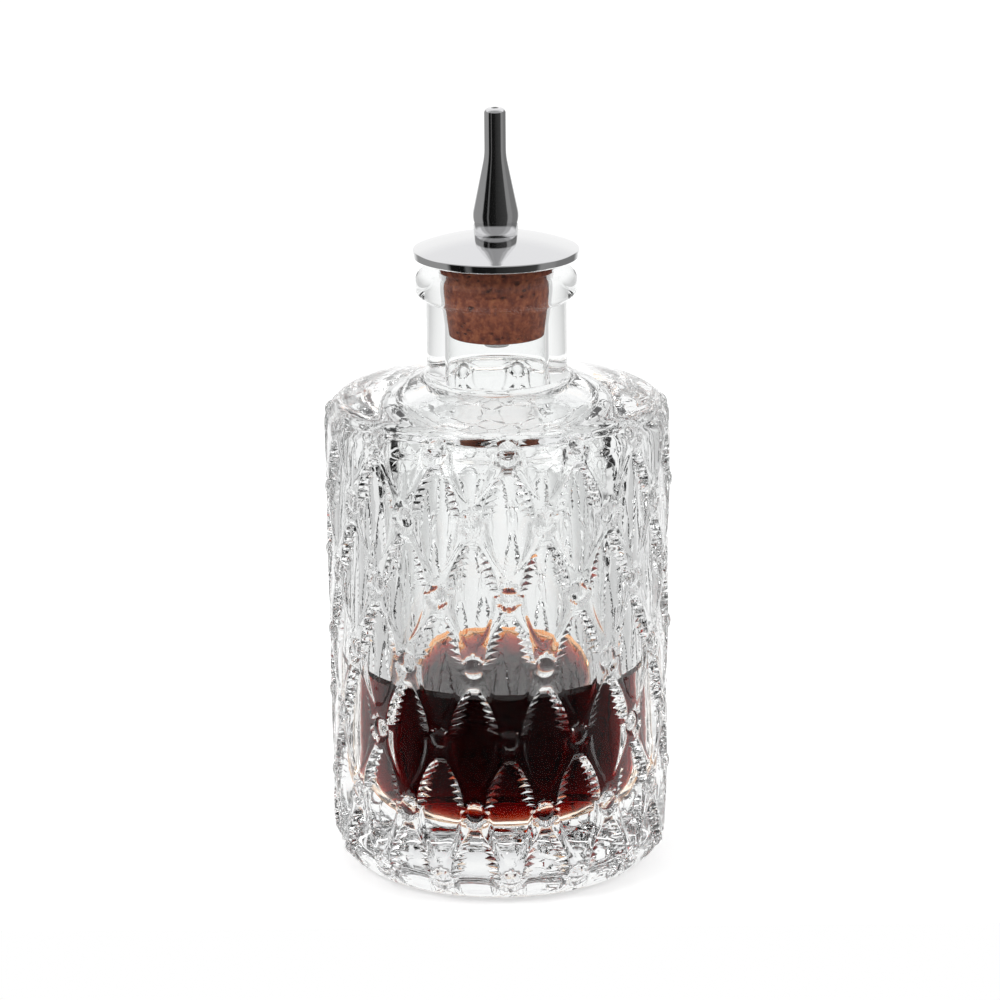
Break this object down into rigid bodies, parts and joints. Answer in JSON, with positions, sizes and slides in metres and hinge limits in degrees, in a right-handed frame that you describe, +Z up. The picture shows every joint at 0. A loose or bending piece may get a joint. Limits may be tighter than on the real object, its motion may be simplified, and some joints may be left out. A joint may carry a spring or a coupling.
{
  "type": "bitters bottle",
  "caption": "Squat pressed-glass bottle with a leaf lattice, part filled with bitters, closed by a bored cork that carries a steel dasher spout.",
  "frame": {"origin": "centre of the foot, on the surface that the bottle stands on", "axes": "+Z up along the bottle's axis, out of the spout; -Y towards the viewer of the picture, +X to the right"},
  "size_m": [0.0742, 0.0741, 0.1648],
  "materials": {
    "clear_glass": "clear pressed glass, fire polished",
    "bitters": "dark red-brown liquid, amber where it is thin",
    "cork": "fine-grained natural cork with dark pits",
    "polished_steel": "polished stainless steel",
    "stem_steel": "plain stainless steel tube"
  },
  "bodies": {
    "bottle": {"glass_bottle": "clear_glass", "bitters": "bitters"},
    "stopper": {"cork": "cork", "domed_cap": "polished_steel", "stem_tube": "stem_steel", "stem_collar": "stem_steel", "spout": "polished_steel"}
  },
  "joints": [
    {"name": "stopper_pull", "type": "slide", "parent": "bottle", "child": "stopper", "axis": [0, 0, 1], "range_m": [0, 0.03]}
  ]
}
